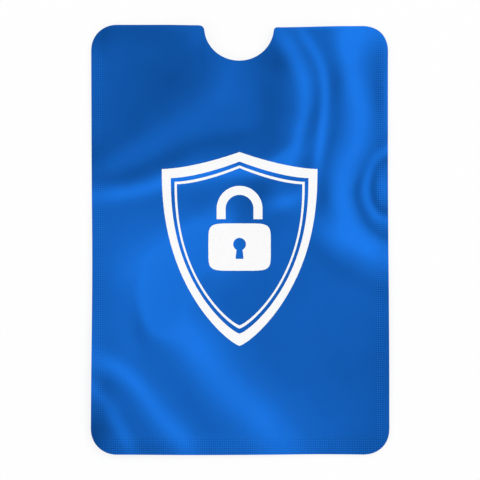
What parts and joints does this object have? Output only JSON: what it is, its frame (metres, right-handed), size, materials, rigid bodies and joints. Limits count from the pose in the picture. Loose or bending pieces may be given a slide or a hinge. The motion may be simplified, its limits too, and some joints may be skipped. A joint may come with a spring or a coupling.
{
  "type": "card sleeve",
  "caption": "Flat foil-laminate sleeve for one bank-size card, heat-sealed on both sides and the bottom, open at the top with a half-round thumb notch.",
  "frame": {"origin": "centre of the outline at the back face, on which the sleeve lies", "axes": "+Y along the length towards the open mouth, +Z out of the front face, +X to the right seen from the front"},
  "size_m": [0.063, 0.091, 0.0018],
  "materials": {
    "film": "satin metallic blue outer film",
    "foil": "bright rolled foil",
    "liner": "silver-grey sealing liner",
    "seal": "fused liner, embossed by the sealing bars"
  },
  "bodies": {
    "root": {"back_film": "film", "back_foil": "foil", "back_liner": "liner", "left_seal": "seal", "right_seal": "seal", "bottom_seal": "seal", "front_liner": "liner", "front_foil": "foil", "front_film": "film"}
  },
  "joints": []
}
